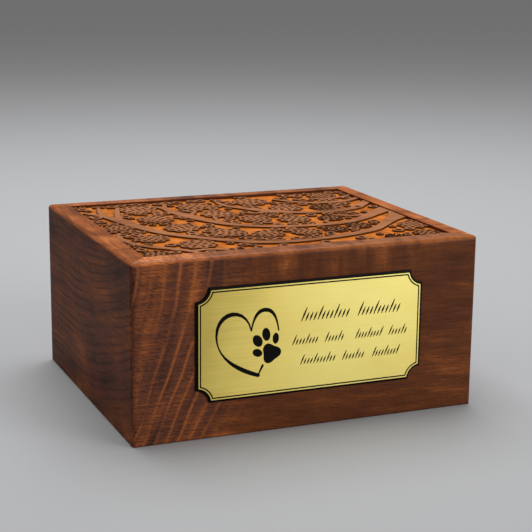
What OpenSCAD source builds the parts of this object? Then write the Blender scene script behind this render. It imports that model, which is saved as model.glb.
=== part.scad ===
// Cremation urn box: four mitred wall boards round a carved top panel, a base board
// screwed in from below, and an engraved plaque on the front. Millimetres, +Z up.
// The origin is under the middle of the whole urn, plaque included, on the surface
// it stands on. The front is towards -Y.

/* [Box] */
// Width of the box, left to right
box_w = 210; // [150:1:320]
// Depth of the box, front to back
box_d = 177; // [130:1:280]
// Height of the box
box_h = 103; // [80:1:200]
// Thickness of the wall boards, which is also the width of the rim
wall_t = 11.5; // [10:0.5:16]
// Radius of the rounded outer edge of the rim
rim_r = 3.2; // [0.5:0.1:4]
// Radius of the rounded upright corners
corner_r = 2.4; // [0.5:0.1:4]
// Chamfer round the foot of the walls
foot_chamfer = 0.8; // [0.2:0.1:2]

/* [Top panel] */
// How far the face of the carving lies below the rim
carving_drop = 0.8; // [0.3:0.1:3]
// How deep the ground is cut below the face of the carving
relief = 1.2; // [0.8:0.1:3]
// Thickness of wood left under the ground
panel_back = 6; // [4:0.5:10]
// Thickness of the tongue round the panel
tongue_t = 4; // [2:0.5:4]
// Depth of the groove that holds the tongue
groove_d = 5; // [3:0.5:7]
// Room left past the tongue for the wood to move
groove_room = 0.5; // [0.2:0.1:1]

/* [Base] */
// Thickness of the base board
base_t = 8; // [6:0.5:12]
// Thickness of wall left outside the base board
lip_t = 4; // [3:0.5:5]
// Gap between a board and what it drops into
board_gap = 0.15; // [0.05:0.05:0.4]

/* [Screws] */
// Radius of the shank of a base screw
shank_r = 1.4; // [1:0.1:1.5]
// Radius of the countersunk head
head_r = 2.7; // [2:0.1:3]
// Height of the cone under the head
head_cone_h = 1.5; // [1:0.1:2]
// Whole length of a screw
screw_len = 16; // [14:1:20]
// Length of the point
point_len = 3; // [2:0.5:5]
// How far a head lies inside the underside
head_sink = 0.4; // [0.2:0.1:1]
// Clearance between a screw and its hole
screw_gap = 0.05; // [0.02:0.01:0.1]
// Distance of a screw from the end of the wall that it is in
screw_inset = 32; // [20:1:45]
// Width of one bar of the cross recess
recess_w = 0.8; // [0.5:0.1:1]
// Depth of the cross recess
recess_d = 0.9; // [0.5:0.1:1.2]

/* [Plaque] */
// Width of the plaque
plaque_w = 138; // [100:1:150]
// Height of the plaque
plaque_h = 65; // [50:0.5:72]
// Thickness of the plaque
plaque_t = 1.5; // [1:0.1:3]
// Height of the plaque's middle above the underside
plaque_z = 53.5; // [45:0.5:58]
// Radius of the scooped corners
notch_r = 7.4; // [3:0.1:10]
// Width of the dark margin
margin_w = 1.4; // [0.8:0.1:2]
// Width of the bright line inside the margin
line_w = 0.7; // [0.5:0.1:1.5]
// Width of the fine dark line inside the bright one
fine_w = 0.8; // [0.3:0.1:1]
// Depth of the engraving, through the bright skin
engrave_d = 0.2; // [0.1:0.05:0.4]

/* [Hidden] */
$fn = 48;
eps = 0.01;

// The plaque stands proud of the front, so the box sits half its thickness back
box_y = plaque_t / 2;
front_y = box_y - box_d / 2;

// Clear opening inside the walls
open_w = box_w - 2 * wall_t;
open_d = box_d - 2 * wall_t;

// Levels of the top panel
face_z = box_h - carving_drop;
ground_z = face_z - relief;
panel_z = ground_z - panel_back;

// Screws stand in the middle of the shoulder over the base board
screw_line = (lip_t + wall_t) / 2;
screw_x = box_w / 2 - screw_inset;
screw_y = box_d / 2 - screw_line;

// ---- Layout of the carving ----
// Places are in hundredths of the opening, from its front left corner. Widths and radii
// are in millimetres on an opening of this width.
layout_w = 187;
carve_k = open_w / layout_w;
// Points worked out between two given points of a bough
bough_steps = 4;
// A bough is a list of [place across, place back, width]. They leave the trunk at the
// right edge and sweep to the left.
trunk = [[105, 46, 24], [98, 39, 12], [92, 31.5, 7], [86, 24, 6.5], [80, 18, 6.5],
         [68, 12.5, 6], [54, 9.5, 5.5], [42, 11, 6.5], [33.5, 17, 6.5], [25.5, 26, 6],
         [19, 34.5, 6], [14.5, 45, 7.5], [11.5, 56, 8], [9.5, 67, 9], [6, 78, 4.5], [2, 86, 3]];
second_bough = [[104, 58, 13], [94, 48.5, 9], [85.5, 40, 7], [75, 34, 5.5], [60, 34.5, 5.5],
                [49, 39, 6], [40.5, 47, 6.5], [35, 59, 7], [32.5, 68.5, 9], [30, 77, 6],
                [29, 86, 4], [25.5, 92.5, 3]];
third_bough = [[104, 77, 6], [96, 66.5, 7], [90, 60, 6], [80, 57, 5], [69.5, 59.5, 5.5],
               [60.5, 67, 8], [55, 75, 5.5], [51, 82, 4], [50, 90, 3]];
fourth_bough = [[104, 84, 5], [95, 77, 4.5], [87.5, 75.5, 5], [80, 77.5, 5],
                [75, 82.5, 4.5], [71, 89, 3]];
corner_bough = [[19, -3, 4], [16, 6, 4], [11, 13, 5], [6.5, 18, 4.5], [2.7, 26, 4],
                [1.5, 35, 3.5], [3, 43, 3]];
twigs = [[[104, 91, 3], [95, 85, 3], [88, 83, 3.5], [84, 86, 2.5]],
         [[29.5, 84, 4], [31, 91, 3], [33, 97, 2.5]],
         [[60.5, 66, 4], [56, 63.5, 3.5], [52, 66, 3]],
         [[9.5, 67, 5], [11, 77, 4], [13, 86, 3.5], [15, 93, 2.5]],
         [[6.5, 76, 4], [7, 85, 3.5], [8.5, 94, 2.5]],
         [[16, 6, 3.5], [22, 7, 3], [28, 3, 2.5]],
         [[40, 48, 3.5], [39.5, 57, 3], [41, 64, 2.5]],
         [[90, 46, 4], [84, 46, 3.5], [79, 50, 2.5]],
         [[73, 34.5, 3.5], [72, 39, 3], [75, 43, 2.5]],
         [[33, 68, 4], [36.5, 73, 3], [38, 80, 2.5]]];
boughs = concat([trunk, second_bough, third_bough, fourth_bough, corner_bough], twigs);

// A blossom is [place across, place back, radius]
blossoms = [[20.5, 86.5, 12], [40, 85.5, 11.5], [61.5, 87.5, 12], [90, 91, 10],
            [21, 65.5, 11.5], [43.5, 67.5, 11.5], [69, 70.5, 11], [81, 67, 8],
            [5.5, 53, 9.5], [52, 53.5, 10.5], [64, 48, 10.5], [76, 45, 8],
            [24.5, 46, 11], [10.5, 31.5, 10.5], [36, 31.5, 11], [47, 25, 10],
            [59.5, 23.5, 9.5], [70, 24.5, 8], [79.5, 28, 8], [21, 16.5, 11.5],
            [5, 6, 8.5], [96.5, 22, 10], [94.5, 6.5, 8.5], [83, 5, 6.5]];
petals = 10;
// Each next blossom is turned by this much
blossom_turn = 20;
// Place and radius of a petal, place of its pit, and radius of the middle of a blossom,
// all as shares of the blossom's radius
petal_at = 0.73;
petal_r = 0.27;
pit_at = 0.75;
middle_r = 0.63;
pit_r = 1.25;

// Buds, [place across, place back]
buds = [[3, 94], [51.5, 93], [78, 95], [87, 66.5], [93, 62.5], [72, 53], [87, 51.5],
        [34, 47.5], [13, 74], [3.5, 75.5], [36.5, 76.5], [53, 67], [3.5, 39.5], [87, 33],
        [72, 7], [59, 4], [45, 4], [37, 4], [28, 4], [33, 96], [88, 14.5]];
bud_r = 3.6;
// A bud's pit, as a share of its radius
bud_pit = 0.5;

// Berries fill what the boughs, blossoms and buds leave. They stand on a net of staggered
// rows, each a little off its place, first the large ones and then the small ones.
berry_r = 3.4;
small_berry_r = 2.3;
berry_net = 7.6;
small_berry_net = 6.08;
berry_jitter = 1.4;
// Least distance from a berry's middle to the next piece of the figure
berry_reach = 2.7;
small_berry_reach = 1.7;
// Clearings where the ground stays open, [place across, place back, radius]
clearings = [[27, 60, 5], [32, 50, 4.5], [19, 51, 4.5], [18, 26.5, 5], [9, 19, 4.5],
             [29, 10, 5], [44, 36, 5], [38, 43, 4], [54, 22.5, 5.5], [65, 24, 5.5],
             [70, 43, 6], [58, 46.5, 4], [74, 63, 5.5], [83, 70, 4], [93, 56.5, 5],
             [90, 38.5, 7], [86, 13.5, 6], [77, 7.5, 5.5], [68, 5, 6], [52, 4.5, 6],
             [41, 4, 5], [50, 71, 4], [64, 79, 4], [8.5, 82, 4], [33, 84, 4],
             [56, 96, 6], [70, 96, 7], [13, 91, 4]];
// How far a berry keeps out of a clearing, as a share of its radius
clearing_keep = 0.9;
// A blossom counts as a disc this much smaller when berries are placed
blossom_keep = 0.96;

// ---- Design on the plaque, in millimetres from the design's middle ----
// How far the design's middle lies under the plaque's
design_drop = 0.5;
heart_cusp = [-36.8, 6.7];
heart_tip = [-32.6, -19.2];
// Handles of the curves that draw the heart's left and right lobes
heart_left = [heart_cusp, [-39.7, 21.5], [-57.3, 20], [-57.3, 5.5],
              [-57.3, -6.5], [-46.5, -14.2], heart_tip];
heart_right = [heart_cusp, [-36, 11.7], [-34, 18], [-29, 18],
               [-23.5, 18], [-21.5, 12.7], [-20.5, 5.6]];
heart_tail = [heart_tip, [-31.8, -17.4], [-30.8, -15.6], [-29.9, -13.8]];
heart_thin = 0.9;
heart_thick = 2.3;
heart_tail_thick = 1.4;
// How often the left lobe and the tail swell along their length
left_swells = 1.65;
tail_swells = 0.5;
curve_steps = 10;
// Toes of the paw print: [x, z, half width, half height, tilt]
paw_toes = [[-33.1, -6.2, 3, 2.2, -24], [-33, 0.6, 2.7, 3.7, 32],
            [-27.9, 3.9, 2.4, 3.8, 10], [-22.2, 1.1, 1.9, 3.2, -2]];
paw_pad = [-25, -7.1];
pad_r = 5.3;
pad_tilt = 34;
// How far the pad's three lobes bulge, as a share of its radius
pad_lobe = 0.16;
// Rows of strokes: [groups, each from start to end, height of the row's foot, length of a
// tall stroke, width of a stroke]
stroke_rows = [[[[-8, 22], [27, 54]], 9.4, 7.6, 1.15],
               [[[-13, 3], [7, 19], [26, 43], [47, 59]], -4, 5.6, 0.95],
               [[[-8, 14], [18, 32], [37, 54]], -15.8, 5.6, 0.95]];
stroke_lean = 24;
// Length of the other strokes, as a share of a tall one
short_stroke = 0.6;
// Widths of stroke from one stroke to the next
stroke_pitch = 2.1;
// One stroke in so many is tall
tall_every = 4;
// Width of a stroke at its ends, as a share of its width in the middle
stroke_end = 0.4;

// ---- Curves ----
// Catmull-Rom curve through a list of points, with straight ends
function around(p, i) = p[max(0, min(len(p) - 1, i))];
function blend(a, b, c, d, t) =
    0.5 * (2 * b + (c - a) * t + (2 * a - 5 * b + 4 * c - d) * t * t
           + (3 * b - a - 3 * c + d) * t * t * t);
function through(p, steps) = concat(
    [for (i = [0 : len(p) - 2], k = [0 : steps - 1])
        blend(around(p, i - 1), p[i], p[i + 1], around(p, i + 2), k / steps)],
    [p[len(p) - 1]]);
// Chain of cubic curves, each with two handles between its ends
function cubic(a, b, c, d, t) =
    pow(1 - t, 3) * a + 3 * t * pow(1 - t, 2) * b + 3 * t * t * (1 - t) * c + t * t * t * d;
function chain(p) = concat(
    [for (i = [0 : 3 : len(p) - 4], k = [0 : curve_steps - 1])
        cubic(p[i], p[i + 1], p[i + 2], p[i + 3], k / curve_steps)],
    [p[len(p) - 1]]);
// Unit vector to the left of a line of points, at point i
function side(p, i) = let (v = around(p, i + 1) - around(p, i - 1), u = [v[0], v[1]])
    [-u[1], u[0]] / norm(u);
// Outline of a stroke along points p, with a list of widths w
function ribbon(p, w) = concat(
    [for (i = [0 : len(p) - 1]) [p[i][0], p[i][1]] + side(p, i) * w[i] / 2],
    [for (i = [len(p) - 1 : -1 : 0]) [p[i][0], p[i][1]] - side(p, i) * w[i] / 2]);
function ellipse(a, b, n = 24) =
    [for (i = [0 : n - 1]) [a * cos(i * 360 / n), b * sin(i * 360 / n)]];
// From hundredths of the opening to millimetres from its middle
function at(p) = [(p[0] / 100 - 0.5) * open_w, (p[1] / 100 - 0.5) * open_d];

// ---- Walls ----
// Cross section of a wall: x runs from the outer face inwards, y is up
module wall_section() {
    difference() {
        union() {
            translate([0, foot_chamfer]) square([wall_t, box_h - rim_r - foot_chamfer]);
            translate([rim_r, 0]) square([wall_t - rim_r, box_h]);
            translate([rim_r, box_h - rim_r]) circle(r = rim_r);
            polygon([[foot_chamfer, 0], [rim_r + eps, 0], [rim_r + eps, foot_chamfer],
                     [0, foot_chamfer]]);
        }
        translate([wall_t - groove_d, panel_z]) square([groove_d + 1, tongue_t + board_gap]);
        translate([lip_t, -1]) square([wall_t, base_t + 1]);
    }
}

// Plan of a wall of length l, its outer face on y = 0, mitred at both ends
module wall_plan(l) {
    intersection() {
        polygon([[-l / 2, 0], [l / 2, 0], [l / 2 - wall_t, wall_t], [-l / 2 + wall_t, wall_t]]);
        union() {
            translate([-l / 2, corner_r]) square([l, wall_t]);
            translate([-l / 2 + corner_r, 0]) square([l - 2 * corner_r, wall_t]);
            for (s = [-1, 1]) translate([s * (l / 2 - corner_r), corner_r]) circle(r = corner_r);
        }
    }
}

module wall(l) {
    intersection() {
        translate([-l / 2, 0, 0]) rotate([90, 0, 90]) linear_extrude(l) wall_section();
        linear_extrude(box_h) wall_plan(l);
    }
}

module long_wall() {
    difference() {
        translate([0, -box_d / 2, 0]) wall(box_w);
        for (s = [-1, 1]) translate([s * screw_x, -screw_y, 0]) screw_body(screw_gap);
    }
}

module wall_front() {
    color("saddlebrown") translate([0, box_y, 0]) long_wall();
}

module wall_back() {
    color("saddlebrown") translate([0, box_y, 0]) rotate([0, 0, 180]) long_wall();
}

module wall_left() {
    color("sienna") translate([-box_w / 2, box_y, 0]) rotate([0, 0, -90]) wall(box_d);
}

module wall_right() {
    color("sienna") translate([box_w / 2, box_y, 0]) rotate([0, 0, 90]) wall(box_d);
}

// ---- Top panel ----
// A bough's points in millimetres from the middle of the opening, each with its width
function bough_line(p) =
    through([for (r = p) [at(r)[0], at(r)[1], r[2] * carve_k]], bough_steps);

// Distance from point p to the outline of a bough between two of its points
function off_stretch(p, a, b) =
    let (u = [b[0] - a[0], b[1] - a[1]], v = [p[0] - a[0], p[1] - a[1]],
         t = max(0, min(1, u * v / (u * u))))
    norm(v - t * u) - (a[2] + t * (b[2] - a[2])) / 2;
function off_boughs(p, lines) =
    min([for (q = lines, i = [0 : len(q) - 2]) off_stretch(p, q[i], q[i + 1])]);
// Distance from point p to the nearest disc [x, y, radius]
function off_discs(p, discs) = min([for (c = discs) norm([p[0] - c[0], p[1] - c[1]]) - c[2]]);

// Discs in millimetres for rows of [place across, place back, radius], a share k of each
// radius, made larger by grow
function placed(rows, k = 1, grow = 0) =
    [for (c = rows) [at(c)[0], at(c)[1], (c[2] * k + grow) * carve_k]];

// Berries of radius r on a net of pitch net, at least reach from what is already there
function berries(r, net, reach, discs, lines) =
    let (step = net * carve_k, rows = floor(open_d / step / sin(60)), cols = floor(open_w / step),
         open_ground = placed(clearings, grow = r * clearing_keep))
    [for (j = [0 : rows], i = [0 : cols])
        let (p = [(i + 0.5 * (j % 2) + 0.3) * step - open_w / 2,
                  (j * sin(60) + 0.4) * step - open_d / 2]
                 + berry_jitter * carve_k * [sin(137 * i + 71 * j), cos(61 * i - 193 * j)])
        if (abs(p[0]) < open_w / 2 - 1 && abs(p[1]) < open_d / 2 - 1)
        if (off_discs(p, discs) >= reach * carve_k && off_discs(p, open_ground) >= 0)
        if (off_boughs(p, lines) >= reach * carve_k)
        [p[0], p[1], r * carve_k]];

module bough(line) {
    polygon(ribbon(line, [for (q = line) q[2]]));
}

// Blossom of overlapping round petals
module blossom(r) {
    circle(r = r * middle_r);
    for (i = [0 : petals - 1]) rotate(i * 360 / petals)
        translate([r * petal_at, 0]) circle(r = r * petal_r);
}

module blossom_pits(r) {
    for (i = [0 : petals - 1]) rotate(i * 360 / petals)
        translate([r * pit_at, 0]) circle(r = pit_r * carve_k);
}

// The figure of the carving, kept inside the opening
module figure() {
    lines = [for (p = boughs) bough_line(p)];
    bud_discs = placed([for (p = buds) [p[0], p[1], bud_r]]);
    kept = concat(placed(blossoms, blossom_keep), bud_discs);
    large = berries(berry_r, berry_net, berry_reach, kept, lines);
    small = berries(small_berry_r, small_berry_net, small_berry_reach, concat(kept, large), lines);
    intersection() {
        square([open_w - 2 * board_gap, open_d - 2 * board_gap], center = true);
        difference() {
            union() {
                for (line = lines) bough(line);
                for (i = [0 : len(blossoms) - 1]) translate(at(blossoms[i]))
                    rotate(i * blossom_turn) blossom(blossoms[i][2] * carve_k);
                for (c = concat(bud_discs, large, small)) translate([c[0], c[1]]) circle(r = c[2]);
            }
            for (i = [0 : len(blossoms) - 1]) translate(at(blossoms[i]))
                rotate(i * blossom_turn) blossom_pits(blossoms[i][2] * carve_k);
            for (c = concat(bud_discs, large)) translate([c[0], c[1]]) circle(r = c[2] * bud_pit);
        }
    }
}

module top_panel() {
    tongue_w = open_w + 2 * (groove_d - groove_room);
    tongue_d = open_d + 2 * (groove_d - groove_room);
    color("peru") translate([0, box_y, 0]) {
        translate([-tongue_w / 2, -tongue_d / 2, panel_z]) cube([tongue_w, tongue_d, tongue_t]);
        translate([-open_w / 2 + board_gap, -open_d / 2 + board_gap, panel_z])
            cube([open_w - 2 * board_gap, open_d - 2 * board_gap, panel_back]);
        translate([0, 0, ground_z - relief / 2]) linear_extrude(relief * 1.5) figure();
    }
}

// ---- Base and its screws ----
// Body of a screw with its head down, made larger all round by gap for its hole
module screw_body(gap = 0) {
    rotate_extrude() polygon([
        [0, head_sink], [head_r + gap, head_sink], [shank_r + gap, head_sink + head_cone_h],
        [shank_r + gap, head_sink + screw_len - point_len], [0, head_sink + screw_len + gap]]);
}

module base_panel() {
    w = box_w - 2 * (lip_t + board_gap);
    d = box_d - 2 * (lip_t + board_gap);
    color("sienna") translate([0, box_y, 0]) difference() {
        translate([-w / 2, -d / 2, 0]) cube([w, d, base_t]);
        for (sx = [-1, 1], sy = [-1, 1]) translate([sx * screw_x, sy * screw_y, 0]) {
            screw_body(screw_gap);
            translate([0, 0, -1]) cylinder(r = head_r + screw_gap, h = head_sink + 1);
        }
    }
}

module base_screw(sx, sy) {
    bar = 1.3 * head_r;
    color("goldenrod") translate([sx * screw_x, box_y + sy * screw_y, 0]) difference() {
        screw_body();
        for (a = [0, 90]) rotate(a)
            translate([-bar / 2, -recess_w / 2, head_sink - 1]) cube([bar, recess_w, recess_d + 1]);
    }
}

// ---- Plaque ----
// Its outline, set in all round by a distance
module plaque_outline(inset = 0) {
    difference() {
        square([plaque_w - 2 * inset, plaque_h - 2 * inset], center = true);
        for (sx = [-1, 1], sy = [-1, 1]) translate([sx * plaque_w / 2, sy * plaque_h / 2])
            circle(r = notch_r + inset);
    }
}

// Open stroke along a curve, thin at its start, that swells and thins as it goes
module swelling_stroke(p, thick, swells = 1) {
    n = len(p) - 1;
    swell = thick - heart_thin;
    polygon(ribbon(p, [for (i = [0 : n]) heart_thin + swell * pow(sin(180 * swells * i / n), 2)]));
}

module heart() {
    swelling_stroke(chain(heart_left), heart_thick * 1.1, left_swells);
    swelling_stroke(chain(heart_right), heart_thick);
    swelling_stroke(chain(heart_tail), heart_tail_thick, tail_swells);
}

module paw() {
    for (t = paw_toes) translate([t[0], t[1]]) rotate(t[4]) polygon(ellipse(t[2], t[3]));
    translate(paw_pad) rotate(pad_tilt)
        polygon([for (i = [0 : 29]) let (a = i * 12, r = pad_r * (1 + pad_lobe * cos(3 * (a - 90))))
            r * [cos(a), sin(a)]]);
}

// Leaning stroke that stands on a point, thinner at its ends
module leaning_stroke(rise, width) {
    run = rise * tan(stroke_lean);
    polygon(ribbon([[0, 0], [run / 2, rise / 2], [run, rise]],
                   [width * stroke_end, width, width * stroke_end]));
}

module strokes() {
    for (row = stroke_rows, group = row[0]) {
        n = round((group[1] - group[0]) / (row[3] * stroke_pitch));
        pitch = (group[1] - group[0]) / n;
        for (i = [0 : n - 1]) translate([group[0] + (i + 0.5) * pitch, row[1]])
            leaning_stroke(row[2] * (i % tall_every == 0 ? 1 : short_stroke), row[3]);
    }
}

module plaque() {
    color("gold") translate([0, front_y, plaque_z]) rotate([90, 0, 0]) {
        linear_extrude(plaque_t - engrave_d) plaque_outline();
        translate([0, 0, plaque_t - engrave_d]) linear_extrude(engrave_d) {
            difference() {
                plaque_outline(margin_w);
                plaque_outline(margin_w + line_w);
            }
            difference() {
                plaque_outline(margin_w + line_w + fine_w);
                translate([0, -design_drop]) {
                    heart();
                    paw();
                    strokes();
                }
            }
        }
    }
}

wall_front();
wall_back();
wall_left();
wall_right();
top_panel();
base_panel();
plaque();
base_screw(-1, -1);  // base_screw_1
base_screw(1, -1);  // base_screw_2
base_screw(-1, 1);  // base_screw_3
base_screw(1, 1);  // base_screw_4
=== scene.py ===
"""A cremation urn box: four mitred rosewood boards round a carved top panel, a base board held
by brass screws, and an engraved plate on the front. Lengths are metres in the frame of the
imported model, +Z up and the front towards -Y. The carving and the plate are drawn in
millimetres, as their maker would, and scaled at the end."""

import math

import bpy
import numpy as np
from mathutils import Matrix, Vector


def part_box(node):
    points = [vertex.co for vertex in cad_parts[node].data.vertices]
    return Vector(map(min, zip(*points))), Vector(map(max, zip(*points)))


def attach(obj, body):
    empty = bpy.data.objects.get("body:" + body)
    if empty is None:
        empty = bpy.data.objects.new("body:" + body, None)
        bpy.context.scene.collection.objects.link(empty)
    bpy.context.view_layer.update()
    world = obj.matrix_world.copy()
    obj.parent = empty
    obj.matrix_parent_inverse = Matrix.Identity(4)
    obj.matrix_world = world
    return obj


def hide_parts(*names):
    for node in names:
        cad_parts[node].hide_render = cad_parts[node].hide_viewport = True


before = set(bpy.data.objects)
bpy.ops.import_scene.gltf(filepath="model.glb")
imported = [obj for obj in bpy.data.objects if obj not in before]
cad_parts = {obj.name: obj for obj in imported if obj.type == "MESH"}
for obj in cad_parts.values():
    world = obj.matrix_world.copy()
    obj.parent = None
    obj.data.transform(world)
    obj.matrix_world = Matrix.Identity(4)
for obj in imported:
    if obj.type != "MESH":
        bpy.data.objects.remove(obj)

MM = 0.001
# Stands for a distance that isn't measured, and for a length too short to divide by
FAR, TINY = 1e3, 1e-12

# ---- Sizes taken from the frame ----
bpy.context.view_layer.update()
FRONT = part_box("wall_front")
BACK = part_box("wall_back")
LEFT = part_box("wall_left")
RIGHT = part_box("wall_right")
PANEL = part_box("top_panel")
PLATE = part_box("plaque")
RIM_Z = FRONT[1].z
BOX_MID = Vector(((LEFT[0].x + RIGHT[1].x) / 2, (FRONT[0].y + BACK[1].y) / 2, RIM_Z / 2))

# Clear opening inside the walls, in millimetres
OPEN_W = (RIGHT[0].x - LEFT[1].x) / MM
OPEN_D = (BACK[0].y - FRONT[1].y) / MM

# ---- Reliefs ----
# What a triangle of a relief's grid is, and the angle in degrees of its sharp edges
LEFT_OUT, GROUND, FACE = 0, 1, 2
SHARP_ANGLE = 40

# ---- The carved panel ----
# Gap to the walls, depth of the relief, thickness of the tongue, and pitch of the grid
BOARD_GAP = 0.15
RELIEF = 1.2
TONGUE_T = 4.0
CARVE_PITCH = 0.63
# How far the cut edges of the figure are eased, and over what distance
EDGE_EASE = 0.2
EDGE_REACH = 0.35
# From this far off the figure the ground is fully open, and up to the second it's measured
OPEN_FROM, OPEN_REACH = 2.5, 4

# The layout is in hundredths of the opening, from its front left corner. Widths and radii
# are millimetres on an opening of this width.
LAYOUT_W = 187
CARVE_K = OPEN_W / LAYOUT_W
# Boughs and twigs: places and widths along them, with this many steps between two
BOUGH_STEPS = 4
TRUNK = [[105, 46, 24], [98, 39, 12], [92, 31.5, 7], [86, 24, 6.5], [80, 18, 6.5],
         [68, 12.5, 6], [54, 9.5, 5.5], [42, 11, 6.5], [33.5, 17, 6.5], [25.5, 26, 6],
         [19, 34.5, 6], [14.5, 45, 7.5], [11.5, 56, 8], [9.5, 67, 9], [6, 78, 4.5], [2, 86, 3]]
SECOND_BOUGH = [[104, 58, 13], [94, 48.5, 9], [85.5, 40, 7], [75, 34, 5.5], [60, 34.5, 5.5],
                [49, 39, 6], [40.5, 47, 6.5], [35, 59, 7], [32.5, 68.5, 9], [30, 77, 6],
                [29, 86, 4], [25.5, 92.5, 3]]
THIRD_BOUGH = [[104, 77, 6], [96, 66.5, 7], [90, 60, 6], [80, 57, 5], [69.5, 59.5, 5.5],
               [60.5, 67, 8], [55, 75, 5.5], [51, 82, 4], [50, 90, 3]]
FOURTH_BOUGH = [[104, 84, 5], [95, 77, 4.5], [87.5, 75.5, 5], [80, 77.5, 5],
                [75, 82.5, 4.5], [71, 89, 3]]
CORNER_BOUGH = [[19, -3, 4], [16, 6, 4], [11, 13, 5], [6.5, 18, 4.5], [2.7, 26, 4],
                [1.5, 35, 3.5], [3, 43, 3]]
TWIGS = [[[104, 91, 3], [95, 85, 3], [88, 83, 3.5], [84, 86, 2.5]],
         [[29.5, 84, 4], [31, 91, 3], [33, 97, 2.5]],
         [[60.5, 66, 4], [56, 63.5, 3.5], [52, 66, 3]],
         [[9.5, 67, 5], [11, 77, 4], [13, 86, 3.5], [15, 93, 2.5]],
         [[6.5, 76, 4], [7, 85, 3.5], [8.5, 94, 2.5]],
         [[16, 6, 3.5], [22, 7, 3], [28, 3, 2.5]],
         [[40, 48, 3.5], [39.5, 57, 3], [41, 64, 2.5]],
         [[90, 46, 4], [84, 46, 3.5], [79, 50, 2.5]],
         [[73, 34.5, 3.5], [72, 39, 3], [75, 43, 2.5]],
         [[33, 68, 4], [36.5, 73, 3], [38, 80, 2.5]]]
# Blossoms: places and radii
BLOSSOMS = [[20.5, 86.5, 12], [40, 85.5, 11.5], [61.5, 87.5, 12], [90, 91, 10],
            [21, 65.5, 11.5], [43.5, 67.5, 11.5], [69, 70.5, 11], [81, 67, 8],
            [5.5, 53, 9.5], [52, 53.5, 10.5], [64, 48, 10.5], [76, 45, 8],
            [24.5, 46, 11], [10.5, 31.5, 10.5], [36, 31.5, 11], [47, 25, 10],
            [59.5, 23.5, 9.5], [70, 24.5, 8], [79.5, 28, 8], [21, 16.5, 11.5],
            [5, 6, 8.5], [96.5, 22, 10], [94.5, 6.5, 8.5], [83, 5, 6.5]]
# Petals and their pits, as shares of a blossom's radius, and how far each blossom is turned
# from the last, in degrees
PETALS = 10
BLOSSOM_TURN = 20
PETAL_AT, PETAL_R, PIT_AT, MIDDLE_R = 0.73, 0.27, 0.75, 0.63
PIT_R = 1.25
# Small pits round the middle of a blossom, and the seams between its petals
SEEDS, SEED_AT, SEED_R = 6, 0.38, 1.15
SEAM_DEPTH, SEAM_WIDTH = 0.16, 0.3
# Buds: places, radius, and their pit's share of it, which the berries have too
BUDS = [[3, 94], [51.5, 93], [78, 95], [87, 66.5], [93, 62.5], [72, 53], [87, 51.5],
        [34, 47.5], [13, 74], [3.5, 75.5], [36.5, 76.5], [53, 67], [3.5, 39.5], [87, 33],
        [72, 7], [59, 4], [45, 4], [37, 4], [28, 4], [33, 96], [88, 14.5]]
BUD_R, BUD_PIT = 3.6, 0.5
# Berries: radius, pitch of their net, and least distance to the next piece of the figure
BERRIES = [[3.4, 7.6, 2.7], [2.3, 6.08, 1.7]]
# Their net, in its own pitch: where it starts, and how far apart its rows lie. Each berry is
# moved off it by sines of these degrees for each column and row, sideways and along, and
# keeps this far inside the opening.
NET_X, NET_Y, NET_ROW = 0.3, 0.4, math.sin(math.pi / 3)
BERRY_JITTER, JITTER_X, JITTER_Y = 1.4, (137, 71), (61, -193)
BERRY_INSET = 1
# Clearings, where the ground stays free of berries: places and radii
CLEARINGS = [[27, 60, 5], [32, 50, 4.5], [19, 51, 4.5], [18, 26.5, 5], [9, 19, 4.5],
             [29, 10, 5], [44, 36, 5], [38, 43, 4], [54, 22.5, 5.5], [65, 24, 5.5],
             [70, 43, 6], [58, 46.5, 4], [74, 63, 5.5], [83, 70, 4], [93, 56.5, 5],
             [90, 38.5, 7], [86, 13.5, 6], [77, 7.5, 5.5], [68, 5, 6], [52, 4.5, 6],
             [41, 4, 5], [50, 71, 4], [64, 79, 4], [8.5, 82, 4], [33, 84, 4],
             [56, 96, 6], [70, 96, 7], [13, 91, 4]]
# How much of their radius clearings and blossoms keep free of berries
CLEARING_KEEP = 0.9
BLOSSOM_KEEP = 0.96

# ---- The plate, in millimetres from its middle ----
PLATE_W = (PLATE[1].x - PLATE[0].x) / MM
PLATE_H = (PLATE[1].z - PLATE[0].z) / MM
PLATE_T = (PLATE[1].y - PLATE[0].y) / MM
# Height of its middle, in metres
PLATE_MID_Z = (PLATE[0].z + PLATE[1].z) / 2
PLATE_PITCH = 0.34
# Strokes are measured up to this distance
PLATE_REACH = 2
# Radius of the scooped corners, and widths of the margin, the bright line and the fine line
NOTCH_R, MARGIN_W, LINE_W, FINE_W = 7.4, 1.4, 0.7, 0.8
# Depth of the engraving, and how far the margin falls away below it
ENGRAVE_D = 0.2
MARGIN_FALL = 0.45
# How far the middle of the design lies under the plate's middle
DESIGN_DROP = 0.5
# The open heart: points on its curves, with two handles between each two
CURVE_STEPS = 10
HEART_CUSP, HEART_TIP = [-36.8, 6.7], [-32.6, -19.2]
HEART_LEFT = [HEART_CUSP, [-39.7, 21.5], [-57.3, 20], [-57.3, 5.5],
              [-57.3, -6.5], [-46.5, -14.2], HEART_TIP]
HEART_RIGHT = [HEART_CUSP, [-36, 11.7], [-34, 18], [-29, 18],
               [-23.5, 18], [-21.5, 12.7], [-20.5, 5.6]]
HEART_TAIL = [HEART_TIP, [-31.8, -17.4], [-30.8, -15.6], [-29.9, -13.8]]
HEART_THIN, HEART_THICK, TAIL_THICK = 0.9, 2.3, 1.4
LEFT_THICK = HEART_THICK * 1.1
# How often the left lobe and the tail swell along their length
LEFT_SWELLS, TAIL_SWELLS = 1.65, 0.5
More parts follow.
